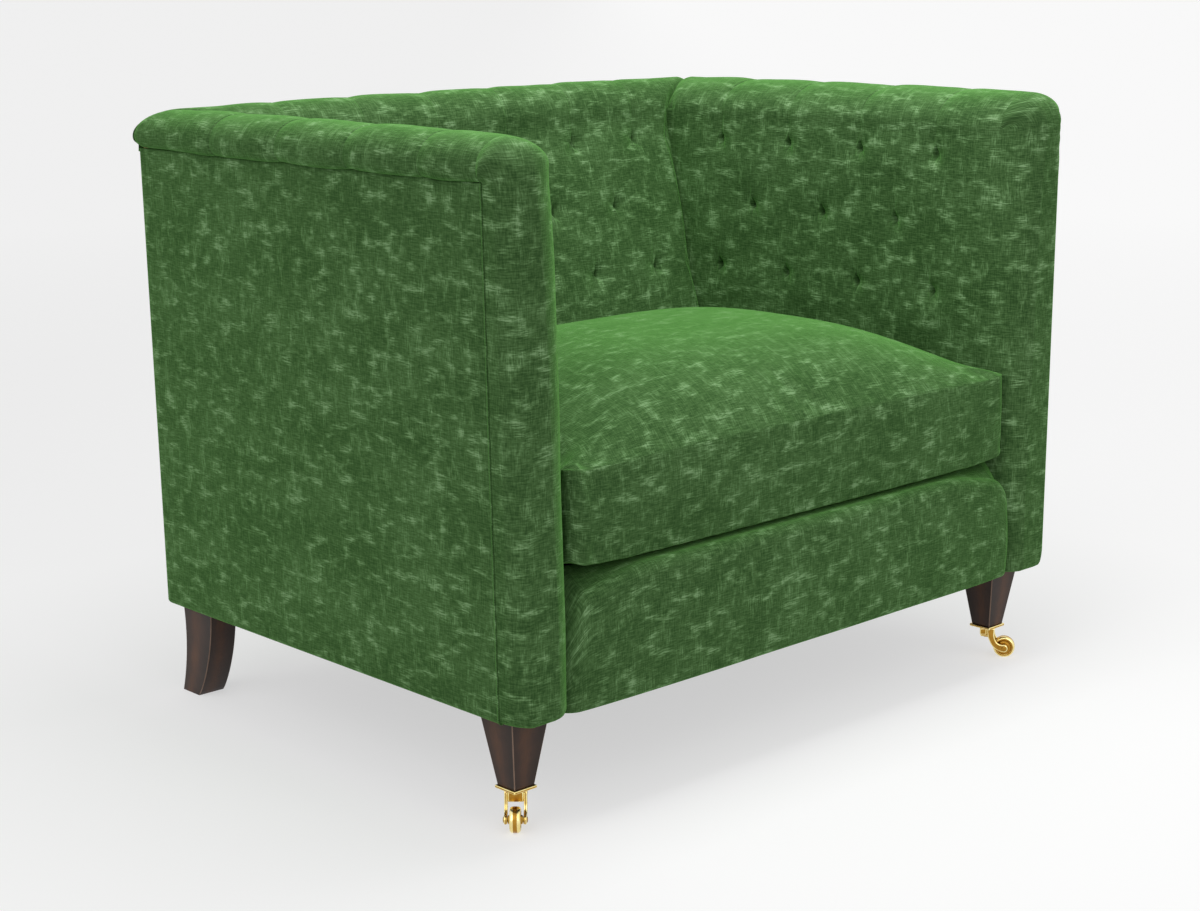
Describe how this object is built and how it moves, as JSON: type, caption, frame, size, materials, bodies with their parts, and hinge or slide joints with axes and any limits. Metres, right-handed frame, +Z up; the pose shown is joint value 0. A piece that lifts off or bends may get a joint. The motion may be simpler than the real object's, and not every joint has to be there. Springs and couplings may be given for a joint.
{
  "type": "snuggler armchair",
  "caption": "Wide upholstered armchair with tufted inside arms and back, rolled top, loose seat cushion, sabre back legs and front castors.",
  "frame": {"origin": "on the floor under the middle of the chair's bounding box", "axes": "+Z up, the front faces -Y, +X to the right as seen from the front"},
  "size_m": [1.0672, 0.795, 0.838],
  "materials": {
    "upholstery": "slub chenille",
    "frame_timber": "sawn beech",
    "leg_timber": "dark stain, satin lacquer",
    "brass": "polished",
    "spring_steel": "plain",
    "jute": "woven",
    "deck_foam": "foam under lining",
    "bottom_cloth": "spun black cloth"
  },
  "bodies": {
    "chair": {"front_rail": "frame_timber", "rear_rail": "frame_timber", "side_rail_left": "frame_timber", "side_rail_right": "frame_timber", "corner_blocks": "frame_timber", "front_post_left": "frame_timber", "front_post_right": "frame_timber", "back_post_left": "frame_timber", "back_post_right": "frame_timber", "arm_top_rail_left": "frame_timber", "arm_top_rail_right": "frame_timber", "arm_lower_rail_left": "frame_timber", "arm_lower_rail_right": "frame_timber", "back_top_rail": "frame_timber", "back_lower_rail": "frame_timber", "seat_springs": "spring_steel", "spring_clips": "spring_steel", "deck_hessian": "jute", "deck_pad": "deck_foam", "arm_webbing_left": "jute", "arm_webbing_right": "jute", "back_webbing": "jute", "inside_arm_left": "upholstery", "inside_arm_right": "upholstery", "inside_back": "upholstery", "arm_front_left": "upholstery", "arm_front_right": "upholstery", "front_border": "upholstery", "outside_arm_left": "upholstery", "outside_arm_right": "upholstery", "outside_back": "upholstery", "bottom_cloth": "bottom_cloth", "arm_buttons_left": "upholstery", "arm_buttons_right": "upholstery", "back_buttons": "upholstery", "front_leg_left": "leg_timber", "front_leg_right": "leg_timber", "rear_leg_left": "leg_timber", "rear_leg_right": "leg_timber", "leg_bolts": "spring_steel", "castor_plate_left": "brass", "castor_plate_right": "brass", "castor_screws": "brass"},
    "cushion": {"seat_cushion": "upholstery"},
    "castor_left": {"castor_yoke_left": "brass", "castor_axle_left": "brass"},
    "castor_right": {"castor_yoke_right": "brass", "castor_axle_right": "brass"},
    "wheel_left": {"castor_wheel_left": "brass"},
    "wheel_right": {"castor_wheel_right": "brass"}
  },
  "joints": [
    {"name": "cushion_lift", "type": "slide", "parent": "chair", "child": "cushion", "axis": [0, 0, 1], "range_m": [0, 0.55]},
    {"name": "castor_left_swivel", "type": "hinge", "parent": "chair", "child": "castor_left", "pos_m": [-0.468, -0.3275, 0.04], "axis": [0, 0, 1], "continuous": true},
    {"name": "castor_right_swivel", "type": "hinge", "parent": "chair", "child": "castor_right", "pos_m": [0.468, -0.3275, 0.04], "axis": [0, 0, 1], "continuous": true},
    {"name": "wheel_left_turn", "type": "hinge", "parent": "castor_left", "child": "wheel_left", "pos_m": [-0.48606, -0.3462, 0.016], "axis": [-0.7193, 0.6947, 0], "continuous": true},
    {"name": "wheel_right_turn", "type": "hinge", "parent": "castor_right", "child": "wheel_right", "pos_m": [0.48328, -0.34853, 0.016], "axis": [-0.809, -0.5878, 0], "continuous": true}
  ]
}
